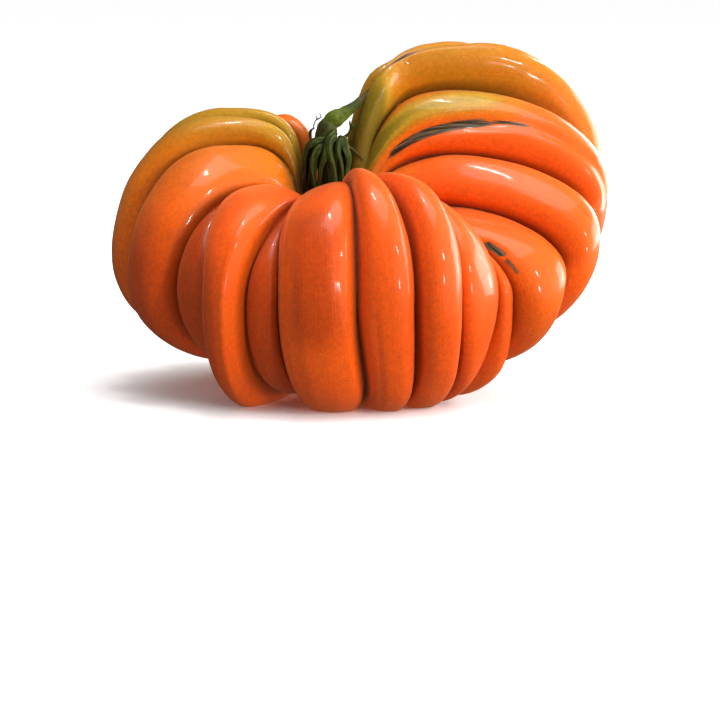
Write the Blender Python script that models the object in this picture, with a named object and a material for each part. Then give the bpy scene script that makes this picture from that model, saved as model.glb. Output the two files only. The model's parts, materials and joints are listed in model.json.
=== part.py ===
"""A large pleated tomato: one fruit of deep ribs, its stem and its sepals.

Run it with: blender --background --python part.py
Metres, +Z up. The origin is on the surface that the fruit rests on, under the middle of the object.
+X is to the right of the side with the tall ribs' creases in view, and -Y is the front.

The fruit is one closed skin. Every rib has a crest, a line from the stem's hollow over the shoulder and
down to the blossom end. Between two crests the skin sinks into a crease, and each rib arches over from one
crease to the next. The short tucked ribs fill the bottom of a crease.
"""

import math
from collections import namedtuple

import bpy
import numpy as np

MM = 0.001

# ---------------------------------------------------------------- driving dimensions, in millimetres

STEM_AXIS = np.array([-8.0, 0.0])  # where the stem stands, seen from above
CENTRING = np.array([0.5, 0.95, 0.0])  # brings the middle of the object's box over the origin
CAVITY_RADIUS = 7.0  # the floor of the hollow that the stem grows out of
CAVITY_FLOOR = 40.0
BLOSSOM_RADIUS = 6.0  # the ring round the blossom scar
BLOSSOM_HEIGHT = 8.0
FLOOR_DOME = 0.6  # how far the middle of each end cap stands out

CREASE_SHARE = 0.95  # depth of a crease over half the distance between the crests beside it
DEEPEST_CREASE = 10.5
SHALLOW_END = 0.2  # what is left of a crease's depth at the hollow's floor and at the blossom scar
ARCH_HALF_ANGLE = math.radians(88.0)  # just short of a half turn from crease to crease

RIB_COLUMNS = 6
TUCKED_COLUMNS = 3
QUARTER_ROWS = (5, 8, 7, 6)  # rows of faces in each quarter of a crest

# Bearings are degrees round the stem, 0 at the front and positive to the right.
# waist is where the rib reaches out furthest, crown is its highest point, foot is its lowest. A foot below 0
# is pressed flat. square is 2 where the rib's inner end is a plain ellipse, and more where it stands up
# steeply beside the hollow.
Rib = namedtuple(
    "Rib",
    "waist_bearing crown_bearing foot_bearing share"
    " waist_radius waist_height crown_radius crown_height foot_radius foot_height square",
)
RIBS = (
    Rib(-4, -3, 1, 1.65, 50, 28, 25, 53.5, 27, -1.5, 2.0),
    Rib(17, 16, 25, 1.18, 51, 28, 25, 57.5, 30, -1.5, 2.0),
    Rib(31.5, 38, 40, 1.25, 54, 28, 29, 56.0, 30, -1.3, 2.0),
    Rib(43, 51, 51, 0.72, 53, 27, 28, 50.0, 31, -0.8, 2.0),
    Rib(62, 64, 71, 1.10, 61, 27, 30, 45.5, 35, 8.0, 2.0),
    Rib(74, 76, 86, 1.30, 67.5, 38, 33, 54.0, 34, 12.5, 2.0),
    Rib(89, 90, 100, 1.40, 69, 50, 34, 68.0, 34, 14.0, 2.4),
    Rib(105, 108, 114, 1.50, 70.5, 56.5, 36, 86.0, 32, 10.0, 3.0),
    Rib(121, 125, 127, 1.20, 64, 56, 34, 86.0, 30, 4.5, 2.7),
    Rib(135, 141, 139, 1.00, 57, 51, 29, 75.0, 28, -1.2, 2.5),
    Rib(149, 155, 151, 0.85, 52, 42, 26, 62.0, 27, -1.4, 2.2),
    Rib(164, 170, 164, 1.00, 49, 31, 24, 51.5, 27, -1.5, 2.0),
    Rib(181, 185, 181, 1.10, 48, 28, 24, 48.5, 27, -1.5, 2.0),
    Rib(197, 199, 197, 0.95, 48, 28, 24, 50.0, 27, -1.3, 2.0),
    Rib(212, 212, 212, 1.05, 50, 32, 24, 59.0, 28, -0.2, 2.6),
    Rib(230, 227, 228, 1.20, 53, 36, 27, 66.5, 29, 6.0, 4.8),
    Rib(251, 248, 248, 1.30, 54, 36, 28, 69.5, 30, 10.0, 3.9),
    Rib(272, 270, 268, 1.40, 54, 33, 28, 67.0, 31, 12.5, 3.6),
    Rib(294, 291, 292, 1.55, 51.5, 28.5, 27, 59.0, 30, 10.5, 2.4),
    Rib(328, 325, 323, 1.30, 51, 26, 24, 52.5, 28, -0.9, 2.0),
)

# A tucked rib lies in the crease after the rib with that number. Its place and half-widths are shares of the
# distance between the crests beside it, and it lifts the bottom of the crease by so many millimetres.
Tucked = namedtuple("Tucked", "after place crown_half waist_half foot_half lift")
TUCKED_RIBS = {
    t.after: t
    for t in (
        Tucked(0, 0.62, 0.02, 0.03, 0.10, 1.5),
        Tucked(3, 0.50, 0.02, 0.10, 0.27, 9.0),
        Tucked(18, 0.52, 0.03, 0.20, 0.20, 3.5),
        Tucked(19, 0.42, 0.03, 0.16, 0.15, 3.0),
    )
}


# ---------------------------------------------------------------- the fruit's skin


def quarter_steps():
    """Stations along a crest: 0 in the hollow, 1 at the crown, 2 at the waist, 3 at the foot, 4 at the blossom."""
    steps = [quarter + np.arange(rows) / rows for quarter, rows in enumerate(QUARTER_ROWS)]
    return np.concatenate([*steps, [4.0]])


def ease(amount):
    """A step from 0 to 1 that starts and ends level."""
    amount = np.clip(amount, 0.0, 1.0)
    return amount * amount * (3 - 2 * amount)


def through(crown, waist, foot, along):
    """A value that is crown up to the crown, waist at the waist and foot from the foot on."""
    return crown + (waist - crown) * ease(along - 1) + (foot - waist) * ease(along - 2)


def crest_line(rib, along):
    """Points of a crest: four quarters of ellipses, level at crown and foot and upright at the waist."""
    angle = (along - np.clip(np.floor(along), 0, 3)) * math.pi / 2
    rising, turning = np.sin(angle), np.cos(angle)
    power = np.where(along < 1, rib.square, 2.0)
    corner = (rising**power + turning**power) ** (-1 / power)
    rising, turning = rising * corner, turning * corner
    quarters = [along < 1, along < 2, along < 3]
    radius = np.select(
        quarters,
        [
            rib.crown_radius - (rib.crown_radius - CAVITY_RADIUS) * turning,
            rib.crown_radius + (rib.waist_radius - rib.crown_radius) * rising,
            rib.foot_radius + (rib.waist_radius - rib.foot_radius) * turning,
        ],
        rib.foot_radius - (rib.foot_radius - BLOSSOM_RADIUS) * rising,
    )
    height = np.select(
        quarters,
        [
            CAVITY_FLOOR + (rib.crown_height - CAVITY_FLOOR) * rising,
            rib.waist_height + (rib.crown_height - rib.waist_height) * turning,
            rib.waist_height - (rib.waist_height - rib.foot_height) * rising,
        ],
        BLOSSOM_HEIGHT - (BLOSSOM_HEIGHT - rib.foot_height) * turning,
    )
    bearing = np.radians(
        through(rib.crown_bearing, rib.waist_bearing, rib.foot_bearing, along)
    )
    return np.stack(
        [
            STEM_AXIS[0] + radius * np.sin(bearing),
            STEM_AXIS[1] - radius * np.cos(bearing),
            height,
        ],
        axis=-1,
    )


def unit(vectors):
    return vectors / np.linalg.norm(vectors, axis=-1, keepdims=True)


class Valley:
    """The stretch of skin between two neighbouring crests."""

    def __init__(self, before, after, along):
        self.before, self.after, self.along = before, after, along
        across = crest_line(after, along) - crest_line(before, along)
        downhill = np.gradient(self.skin(0.5), along, axis=0)
        self.outward = unit(np.cross(downhill, across))
        reach = CREASE_SHARE * np.linalg.norm(across, axis=-1, keepdims=True) / 2
        open_share = SHALLOW_END + (1 - SHALLOW_END) * ease(np.minimum(along, 4 - along) / 0.8)
        self.depth = open_share[:, None] * DEEPEST_CREASE * np.tanh(reach / DEEPEST_CREASE)

    def skin(self, share):
        """The smooth skin over the valley, before it sinks, at a share of the way across."""
        mixed = Rib(*[a + (b - a) * share for a, b in zip(self.before, self.after)])
        return crest_line(mixed, self.along)

    def bottom(self, share, lift=0.0):
        return self.skin(share) - self.outward * (self.depth - lift)


def turned(rib, degrees):
    return rib._replace(
        waist_bearing=rib.waist_bearing + degrees,
        crown_bearing=rib.crown_bearing + degrees,
        foot_bearing=rib.foot_bearing + degrees,
    )


def arch(left, crest, right, columns):
    """Points over a rib from its left crease up to, but not with, its right one."""
    edge = math.cos(ARCH_HALF_ANGLE)
    chord = unit(right - left)
    rise = crest - (left + right) / 2
    rise = rise - chord * (rise * chord).sum(axis=-1, keepdims=True) / 2
    angles = np.linspace(-ARCH_HALF_ANGLE, ARCH_HALF_ANGLE, columns + 1)[:-1]
    return [
        left
        + (right - left) * (0.5 + 0.5 * math.sin(angle) / math.sin(ARCH_HALF_ANGLE))
        + rise * (math.cos(angle) - edge) / (1 - edge)
        for angle in angles
    ]


def fruit_columns(along):
    """Every column of the skin's points, in order round the stem."""
    neighbours = [*RIBS[1:], turned(RIBS[0], 360)]
    valleys = [Valley(a, b, along) for a, b in zip(RIBS, neighbours)]
    right_edges, left_edges, tucked = [], [], []
    for number, valley in enumerate(valleys):
        fill = TUCKED_RIBS.get(number)
        if fill is None:
            share = valley.before.share / (valley.before.share + valley.after.share)
            crease = valley.bottom(share)
            right_edges.append(crease)
            left_edges.append(crease)
            tucked.append([])
            continue
        half = through(fill.crown_half, fill.waist_half, fill.foot_half, along)
        half = half * (1 - 0.85 * ease(along - 3))
        left = shared_bottom(valley, fill.place - half)
        right = shared_bottom(valley, fill.place + half)
        grown = ease(half / max(fill.waist_half, fill.foot_half))[:, None]
        crest = valley.bottom(fill.place, fill.lift * grown)
        right_edges.append(left)
        left_edges.append(right)
        tucked.append(arch(left, crest, right, TUCKED_COLUMNS))
    columns = []
    for number, rib in enumerate(RIBS):
        crest = crest_line(rib, along)
        columns += arch(left_edges[number - 1], crest, right_edges[number], RIB_COLUMNS)
        columns += tucked[number]
    return np.array(columns)


def shared_bottom(valley, shares):
    """The valley's bottom along a line whose share of the way across changes from station to station."""
    mixed = [valley.bottom(share)[row] for row, share in enumerate(shares)]
    return np.array(mixed)


def fruit_mesh():
    """The skin as points and faces: columns side by side, and a low cone over each end."""
    columns = fruit_columns(quarter_steps())
    columns[:, :, 2] = np.maximum(columns[:, :, 2], 0.0)
    around, rows = columns.shape[:2]
    points = [*columns.reshape(-1, 3)]
    faces = []
    for column in range(around):
        beside = (column + 1) % around
        for row in range(rows - 1):
            faces.append(
                (
                    column * rows + row,
                    column * rows + row + 1,
                    beside * rows + row + 1,
                    beside * rows + row,
                )
            )
    top_middle, bottom_middle = len(points), len(points) + 1
    points.append((*STEM_AXIS, CAVITY_FLOOR + FLOOR_DOME))
    points.append((*STEM_AXIS, BLOSSOM_HEIGHT - FLOOR_DOME))
    for column in range(around):
        beside = (column + 1) % around
        faces.append((top_middle, column * rows, beside * rows))
        faces.append((bottom_middle, beside * rows + rows - 1, column * rows + rows - 1))
    return np.array(points), faces


# ---------------------------------------------------------------- stem and sepals


def smooth_route(stops, count):
    """count points evenly spaced along a smooth curve through the stops, each a row of numbers."""
    stops = np.array(stops, float)
    ends = np.concatenate([[2 * stops[0] - stops[1]], stops, [2 * stops[-1] - stops[-2]]])
    fine = []
    for i in range(1, len(ends) - 2):
        p0, p1, p2, p3 = ends[i - 1 : i + 3]
        for t in np.linspace(0, 1, 24, endpoint=False):
            fine.append(
                0.5
                * (
                    2 * p1
                    + (p2 - p0) * t
                    + (2 * p0 - 5 * p1 + 4 * p2 - p3) * t**2
                    + (3 * p1 - p0 - 3 * p2 + p3) * t**3
                )
            )
    fine = np.array([*fine, stops[-1]])
    steps = np.linalg.norm(np.diff(fine[:, :3], axis=0), axis=1)
    travelled = np.concatenate([[0], np.cumsum(steps)])
    wanted = np.linspace(0, travelled[-1], count)
    return np.stack([np.interp(wanted, travelled, column) for column in fine.T], axis=-1)


def swept(route, widths, thicknesses, outward, sides):
    """A closed body with an oval section carried along a route. outward is the side that its flat faces."""
    tangents = unit(np.gradient(route, axis=0))
    across = unit(np.cross(tangents, outward))
    face = np.cross(across, tangents)
    turns = np.arange(sides) * 2 * math.pi / sides
    points, faces = [], []
    for row in range(len(route)):
        for turn in turns:
            points.append(
                route[row]
                + across[row] * widths[row] / 2 * math.cos(turn)
                + face[row] * thicknesses[row] / 2 * math.sin(turn)
            )
    for row in range(len(route) - 1):
        for side in range(sides):
            beside = (side + 1) % sides
            faces.append(
                (
                    row * sides + side,
                    (row + 1) * sides + side,
                    (row + 1) * sides + beside,
                    row * sides + beside,
                )
            )
    faces.append(tuple(range(sides)))
    faces.append(tuple((len(route) - 1) * sides + side for side in reversed(range(sides))))
    return np.array(points), faces


STEM_SIDES = 12
STEM_ROWS = 30
# Stops up the stem from the hollow's floor: x, y, z and radius. It leans to the right, swells at its knuckle,
# bends over and ends dried up beside the tall ribs.
STEM_STOPS = (
    (-8.4, 0.0, 41.2, 4.4),
    (-8.6, 0.0, 46.0, 2.9),
    (-8.7, 0.0, 52.0, 2.2),
    (-8.8, 0.0, 58.0, 2.1),
    (-8.6, 0.1, 62.5, 2.6),
    (-7.6, 0.3, 66.3, 2.6),
    (-6.3, 0.7, 69.0, 2.5),
    (-4.4, 1.4, 70.6, 2.0),
    (-2.6, 2.2, 71.6, 1.45),
    (-1.0, 3.0, 73.1, 1.15),
    (0.3, 3.8, 75.2, 0.9),
)

SEPAL_SIDES = 6
SEPAL_ROWS = 11
SEPAL_THICKNESS = 0.55
# Each stop along a sepal is its bearing, its distance from the middle of the hollow and its height.
Sepal = namedtuple("Sepal", "name width stops")
SEPALS = (
    Sepal("front", 2.1, ((-4, 3.3, 62.6), (-5, 5.2, 60.6), (-7, 6.3, 55.5), (-8, 6.1, 47.0))),
    Sepal("front_right", 2.0, ((22, 3.3, 62.8), (21, 5.0, 61.6), (19, 6.2, 56.5), (16, 6.2, 48.0))),
    Sepal("right_front", 2.1, ((49, 3.3, 62.2), (48, 5.4, 60.2), (45, 6.3, 55.0), (42, 6.1, 47.5))),
    Sepal("right", 1.3, ((74, 3.4, 62.6), (78, 5.0, 61.6), (82, 7.0, 59.6), (84, 8.8, 56.6))),
    Sepal("right_upright", 1.5, ((98, 3.5, 61.4), (97, 4.5, 62.8), (97, 5.3, 65.0), (98, 5.5, 67.6))),
    Sepal("right_low", 1.9, ((90, 4.2, 58.5), (90, 5.4, 57.0), (90, 6.0, 53.0), (88, 6.0, 47.5))),
    Sepal("back_right", 1.9, ((128, 3.3, 62.0), (129, 5.0, 60.2), (131, 5.8, 55.5), (132, 5.9, 48.0))),
    Sepal("back", 2.0, ((160, 3.3, 62.6), (160, 5.1, 60.8), (161, 6.1, 56.0), (162, 6.1, 48.5))),
    Sepal("back_left", 2.0, ((190, 3.3, 62.2), (191, 5.2, 60.6), (193, 6.2, 55.5), (194, 6.1, 48.0))),
    Sepal("left_back", 1.9, ((220, 3.3, 62.8), (221, 5.0, 61.5), (224, 6.0, 57.0), (226, 6.0, 49.0))),
    Sepal("left_curl", 0.9, ((262, 3.9, 61.8), (264, 4.6, 64.4), (266, 4.2, 67.4), (272, 3.2, 69.4))),
    Sepal("left_low", 2.0, ((250, 4.0, 60.4), (252, 5.6, 59.0), (255, 6.1, 54.0), (256, 6.0, 48.5))),
    Sepal("left", 2.1, ((284, 3.4, 62.2), (283, 5.6, 60.9), (281, 6.2, 56.5), (280, 6.1, 48.0))),
    Sepal("left_front", 2.2, ((312, 3.3, 62.6), (311, 5.4, 60.8), (309, 6.4, 55.5), (306, 6.2, 47.0))),
    Sepal("front_left", 2.0, ((337, 3.3, 62.2), (336, 5.3, 61.2), (334, 6.3, 56.5), (332, 6.2, 47.5))),
)


def stem_mesh():
    stops = smooth_route(STEM_STOPS, STEM_ROWS)
    route, diameters = stops[:, :3], 2 * stops[:, 3]
    return swept(route, diameters, diameters, np.array([0.0, -1.0, 0.2]), STEM_SIDES)


def sepal_mesh(sepal):
    """A narrow blade: slim where it joins the stem, broad over its shoulder and drawn out to a blunt point."""
    bearing, radius, height = smooth_route(sepal.stops, SEPAL_ROWS).T
    bearing = np.radians(bearing)
    out = np.stack([np.sin(bearing), -np.cos(bearing), 0 * bearing], axis=-1)
    route = out * radius[:, None]
    route[:, :2] += STEM_AXIS
    route[:, 2] = height
    share = np.linspace(0, 1, SEPAL_ROWS)
    widths = np.minimum(sepal.width, 1.0) + max(sepal.width - 1.0, 0) * ease(share / 0.35)
    widths *= 1 - 0.55 * ease((share - 0.35) / 0.65)
    thicknesses = SEPAL_THICKNESS * (1 - 0.45 * share)
    return swept(route, widths, thicknesses, out + np.array([0, 0, 0.6]), SEPAL_SIDES)


# ---------------------------------------------------------------- Blender objects


def material(name, colour, roughness):
    made = bpy.data.materials.new(name)
    made.use_nodes = True
    shader = made.node_tree.nodes["Principled BSDF"]
    shader.inputs["Base Color"].default_value = (*colour, 1.0)
    shader.inputs["Roughness"].default_value = roughness
    shader.inputs["Metallic"].default_value = 0.0
    return made


def add_piece(name, shape, finish, parent):
    points, faces = shape
    mesh = bpy.data.meshes.new(name)
    mesh.from_pydata(((points + CENTRING) * MM).tolist(), [], faces)
    mesh.validate()
    mesh.materials.append(finish)
    mesh.shade_smooth()
    piece = bpy.data.objects.new(name, mesh)
    bpy.context.scene.collection.objects.link(piece)
    piece.parent = parent
    return piece


def main():
    for old in list(bpy.data.objects):
        bpy.data.objects.remove(old)
    tomato = bpy.data.objects.new("tomato", None)
    bpy.context.scene.collection.objects.link(tomato)
    skin = material("tomato_skin", (0.85, 0.20, 0.02), 0.25)
    green = material("stem_green", (0.06, 0.12, 0.02), 0.6)
    add_piece("fruit", fruit_mesh(), skin, tomato)
    add_piece("stem", stem_mesh(), green, tomato)
    for sepal in SEPALS:
        add_piece(f"sepal_{sepal.name}", sepal_mesh(sepal), green, tomato)


main()
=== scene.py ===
"""A large pleated tomato with its stem and sepals, on a pale floor in soft studio light.

The panel "Tomato" in the 3D view's sidebar lists one operator for the fruit, one for the stem, one for the
sepals and one for the stage. Lengths are in metres in the scene and in millimetres in the tables below.
"""

import json
import math
from collections import namedtuple

import bpy
import numpy as np
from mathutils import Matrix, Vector

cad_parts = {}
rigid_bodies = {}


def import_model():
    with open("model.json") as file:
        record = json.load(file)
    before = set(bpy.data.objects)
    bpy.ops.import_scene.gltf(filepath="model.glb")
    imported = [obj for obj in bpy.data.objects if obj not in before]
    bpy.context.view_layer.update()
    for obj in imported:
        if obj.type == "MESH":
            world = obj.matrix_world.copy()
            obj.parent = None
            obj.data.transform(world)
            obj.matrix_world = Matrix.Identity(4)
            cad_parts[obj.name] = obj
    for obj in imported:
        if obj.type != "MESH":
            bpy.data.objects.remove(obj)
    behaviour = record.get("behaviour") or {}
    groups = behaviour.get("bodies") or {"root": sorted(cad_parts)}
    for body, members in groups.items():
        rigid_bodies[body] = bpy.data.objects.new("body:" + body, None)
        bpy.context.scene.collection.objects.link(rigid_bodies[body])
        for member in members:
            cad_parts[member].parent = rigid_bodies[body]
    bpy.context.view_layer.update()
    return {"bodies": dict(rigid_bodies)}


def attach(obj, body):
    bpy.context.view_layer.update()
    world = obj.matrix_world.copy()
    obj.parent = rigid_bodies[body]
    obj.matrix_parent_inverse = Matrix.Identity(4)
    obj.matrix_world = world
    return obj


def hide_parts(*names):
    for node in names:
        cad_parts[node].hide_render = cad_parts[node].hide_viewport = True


bl_info = {
    "name": "Pleated Tomato",
    "version": (1, 0, 0),
    "blender": (4, 5, 0),
    "location": "View3D > Sidebar > Tomato",
    "description": "Builds a ribbed tomato with its stem, sepals and studio",
    "category": "Add Mesh",
}

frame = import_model()


MM = 0.001
(BODY,) = frame["bodies"]
SEPAL_PREFIX = "sepal_"

# ---------------------------------------------------------------- the fruit's shape, in millimetres

# The stations along every crest, from the hollow at the stem over the rib to the blossom end.
HOLLOW, CROWN, WAIST, FOOT, BLOSSOM = range(5)
STEM_AXIS = np.array([-8.0, 0.0])
# This moves the middle of the fruit's box to the origin.
CENTRING = np.array([0.5, 0.95, 0.0])
CAVITY_RADIUS = 7.0
CAVITY_FLOOR = 40.0
BLOSSOM_RADIUS = 6.0
BLOSSOM_HEIGHT = 8.0
# How far the skin's middle points stand out of the hollow's floor and of the blossom end.
MIDDLE_RISE = 0.6
# A crease sinks by this share of half the distance between its crests, and by less the nearer it comes to the
# deepest. At its two ends it keeps a share of that, and is whole this many stations further on.
CREASE_SHARE = 0.95
DEEPEST_CREASE = 10.5
SHALLOW_END = 0.2
OPENING = 0.8
# A tucked rib narrows by this share from its foot to the blossom end.
TUCKED_NARROWING = 0.85
# A rib's section: 2 is round and more is fuller. It meets its creases at nearly a right angle.
FULLNESS = 2.5
ARCH_HALF_ANGLE = math.radians(88.0)
# Below this height the skin bends towards level, where it rests, and this is how low its ribs would reach.
FLAT_HEIGHT = 0.25
LOWEST_FOOT = -1.5
# The lumps grow to their full height over this height and over these stations from the skin's two ends.
FREE_HEIGHT = 5.0
FREE_TOP, FREE_BOTTOM = 0.15, 0.2
# The blossom scar starts at this station and shows fully this much further on.
SCAR_START, SCAR_EDGE = 3.72, 0.2
# An inner end's colour goes over to the crown's between these stations.
INNER_COLOUR_END, CROWN_COLOUR_START = 0.12, 0.82
# A column of points lies in a crease if its place across the rib is past this.
CREASE_PLACE = 0.999
SHORTEST_VECTOR = 1e-9
# The attributes of the skin's two middle points, at the stem and at the blossom end.
MIDDLE_VALUES = {"along": (0, 1), "unripe": (0.6, 0.2), "cork": (0.3, 1)}

# Bearings are degrees round the stem, 0 at the front and positive to the right. The waist is where a rib
# reaches out furthest, the crown is its highest point and the foot its lowest.
Rib = namedtuple(
    "Rib",
    "waist_bearing crown_bearing foot_bearing share"
    " waist_radius waist_height crown_radius crown_height foot_radius foot_height square",
)
RIBS = (
    Rib(-4, -3, 1, 1.65, 50, 28, 25, 53.5, 27, -1.5, 2.0),
    Rib(17, 16, 25, 1.18, 51, 28, 25, 57.5, 30, -1.5, 2.0),
    Rib(31.5, 38, 40, 1.25, 54, 28, 29, 56.0, 30, -1.3, 2.0),
    Rib(43, 51, 51, 0.72, 53, 27, 28, 50.0, 31, -0.8, 2.0),
    Rib(62, 64, 71, 1.10, 61, 27, 30, 45.5, 35, 8.0, 2.0),
    Rib(74, 76, 86, 1.30, 67.5, 38, 33, 54.0, 34, 12.5, 2.0),
    Rib(89, 90, 100, 1.40, 69, 50, 34, 68.0, 34, 14.0, 2.4),
    Rib(105, 108, 114, 1.50, 70.5, 56.5, 36, 86.0, 32, 10.0, 3.0),
    Rib(121, 125, 127, 1.20, 64, 56, 34, 86.0, 30, 4.5, 2.7),
    Rib(135, 141, 139, 1.00, 57, 51, 29, 75.0, 28, -1.2, 2.5),
    Rib(149, 155, 151, 0.85, 52, 42, 26, 62.0, 27, -1.4, 2.2),
    Rib(164, 170, 164, 1.00, 49, 31, 24, 51.5, 27, -1.5, 2.0),
    Rib(181, 185, 181, 1.10, 48, 28, 24, 52.5, 27, -1.5, 2.0),
    Rib(197, 199, 197, 0.95, 48, 28, 24, 53.2, 27, -1.3, 2.0),
    Rib(212, 212, 212, 1.05, 50, 32, 24, 59.0, 28, -0.2, 2.6),
    Rib(230, 227, 228, 1.20, 53, 36, 27, 66.5, 29, 6.0, 4.8),
    Rib(251, 248, 248, 1.30, 54, 36, 28, 69.5, 30, 10.0, 3.9),
    Rib(272, 270, 268, 1.40, 54, 33, 28, 67.0, 31, 12.5, 3.6),
    Rib(294, 291, 292, 1.55, 51.5, 28.5, 27, 59.0, 30, 10.5, 2.4),
    Rib(328, 325, 323, 1.30, 51, 26, 24, 52.5, 28, -0.9, 2.0),
)
FRONT, FRONT_RIGHT, RIGHT_LOW, RIGHT_UPPER, TALLEST, BEHIND_TALLEST = 0, 1, 4, 6, 7, 8
LEFT_BACK, LEFT_TOP, LEFT_WIDE, LEFT_NARROW = 15, 17, 18, 19

# A tucked rib lies in the crease after the rib with that number. Its place and half-widths are shares of the
# distance between the crests beside it, and it lifts the bottom of the crease by its last number.
Tucked = namedtuple("Tucked", "after place crown_half waist_half foot_half lift")
TUCKED_RIBS = {
    t.after: t
    for t in (
        Tucked(3, 0.50, 0.02, 0.10, 0.27, 9.0),
        Tucked(18, 0.52, 0.03, 0.20, 0.20, 3.5),
        Tucked(19, 0.42, 0.03, 0.16, 0.15, 3.0),
    )
}

# How unripe each rib is at its inner end, crown, waist and foot, and how much more so on its right side.
Ripeness = namedtuple("Ripeness", "inner crown waist foot right_side")
RIPENESS = (
    Ripeness(0.55, 0.06, 0.10, 0.05, 0.0),
    Ripeness(0.45, 0.02, 0.00, 0.02, 0.0),
    Ripeness(0.45, 0.02, 0.00, 0.00, 0.0),
    Ripeness(0.45, 0.06, 0.00, 0.00, 0.0),
    Ripeness(0.50, 0.10, 0.14, 0.10, 0.0),
    Ripeness(0.60, 0.10, 0.14, 0.14, 0.05),
    Ripeness(0.55, 0.08, 0.14, 0.14, 0.10),
    Ripeness(0.68, 0.60, 0.34, 0.38, 0.05),
    Ripeness(0.90, 0.62, 0.40, 0.40, 0.0),
    Ripeness(0.85, 0.55, 0.35, 0.30, 0.0),
    Ripeness(0.75, 0.40, 0.22, 0.20, 0.0),
    Ripeness(0.65, 0.28, 0.12, 0.10, 0.0),
    Ripeness(0.70, 0.34, 0.06, 0.08, 0.0),
    Ripeness(0.72, 0.42, 0.12, 0.08, 0.0),
    Ripeness(0.60, 0.35, 0.20, 0.15, 0.0),
    Ripeness(0.35, 0.30, 0.30, 0.30, 0.0),
    Ripeness(0.75, 0.80, 0.46, 0.26, 0.0),
    Ripeness(0.70, 0.70, 0.36, 0.24, -0.15),
    Ripeness(0.55, 0.32, 0.16, 0.12, -0.10),
    Ripeness(0.45, 0.08, 0.08, 0.06, 0.0),
)

# Long marks on a rib: a ridge or a groove that runs from one station to another along it, at a place across
# it from -1 to 1, and tapers over a share of its length at both ends. A groove's height is negative.
Mark = namedtuple("Mark", "rib start end across_start across_end half_width height")
STRIP_TAPER = 0.25
MARKS = (
    Mark(RIGHT_UPPER, 0.30, 1.32, -0.72, -0.08, 0.35, -1.5),
    Mark(RIGHT_UPPER, 1.15, 2.20, -0.08, -0.45, 0.28, -0.9),
    Mark(LEFT_NARROW, 1.25, 2.8, 0.58, 0.54, 0.18, 0.55),
    Mark(FRONT, 1.3, 2.9, 0.80, 0.76, 0.14, 0.40),
    Mark(FRONT, 1.5, 2.9, -0.60, -0.50, 0.25, -0.35),
    Mark(FRONT_RIGHT, 1.9, 2.9, -0.50, -0.45, 0.20, -0.30),
    Mark(TALLEST, 1.1, 2.4, 0.15, 0.08, 0.25, -0.40),
    Mark(RIGHT_LOW, 1.38, 1.58, -0.88, -0.80, 0.18, -0.45),
    Mark(TALLEST, 0.05, 0.66, 0.10, 0.0, 1.6, 2.8),
    Mark(BEHIND_TALLEST, 0.05, 0.66, 0.0, 0.0, 1.6, 2.8),
    Mark(LEFT_BACK, 0.15, 0.80, 0.2, 0.0, 1.5, 2.6),
)
# Corky patches, laid out in the same way. The last number is how strongly a patch shows.
Patch = namedtuple("Patch", "rib start end across_start across_end half_width strength")
CORKS = (
    Patch(RIGHT_UPPER, 0.42, 1.20, -0.63, -0.13, 0.21, 1.0),
    Patch(RIGHT_UPPER, 1.08, 1.32, -0.16, -0.08, 0.09, 0.75),
    Patch(RIGHT_LOW, 1.38, 1.58, -0.89, -0.80, 0.16, 1.0),
    Patch(RIGHT_LOW, 1.55, 1.76, -0.86, -0.79, 0.12, 0.60),
    Patch(TALLEST, 0.30, 0.84, 1.0, 1.0, 0.10, 0.9),
    Patch(BEHIND_TALLEST, 0.30, 0.84, -1.0, -1.0, 0.12, 0.9),
)
# Greener patches, laid out in the same way.
GREENS = (
    Patch(RIGHT_UPPER, 0.15, 1.36, 0.10, 0.62, 0.80, 0.75),
    Patch(TALLEST, -0.2, 0.62, 0.0, -0.3, 1.8, 0.50),
    Patch(RIGHT_UPPER, -0.2, 0.42, 0.0, 0.3, 1.8, 0.40),
)
# Deeper, browner patches, laid out in the same way. The one on the front rib is its own colour; those on the
# left ribs' lower halves are partly their own colour and partly painted shade on the side away from the key
# light.
BLUSHES_AND_SHADE = (
    Patch(FRONT, 1.25, 2.35, -0.05, 0.10, 1.1, 1.0),
    # The left ribs' lower halves: partly painted shade, away from the key light.
    Patch(LEFT_NARROW, 1.5, 3.0, -0.2, 0.0, 1.3, 0.65),
    Patch(LEFT_NARROW + 0.5, 0.8, 3.6, 0.0, 0.0, 2.0, 0.95),
    Patch(LEFT_WIDE, 1.4, 3.4, 0.0, 0.1, 1.5, 0.80),
    Patch(LEFT_WIDE + 0.5, 0.8, 3.6, 0.0, 0.0, 2.0, 1.0),
    Patch(LEFT_TOP, 1.7, 3.4, 0.0, 0.0, 1.5, 0.6),
    Patch(RIGHT_LOW, 2.0, 3.0, 0.1, 0.1, 0.9, 0.3),
)


def ease(amount):
    """A step from 0 to 1 that starts and ends level."""
    amount = np.clip(amount, 0.0, 1.0)
    return amount * amount * (3 - 2 * amount)


def through(crown, waist, foot, along):
    """A value that is crown up to the crown, waist at the waist and foot from the foot on."""
    return crown + (waist - crown) * ease(along - CROWN) + (foot - waist) * ease(along - WAIST)


def unit(rows):
    return rows / np.maximum(np.linalg.norm(rows, axis=-1, keepdims=True), SHORTEST_VECTOR)


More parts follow.
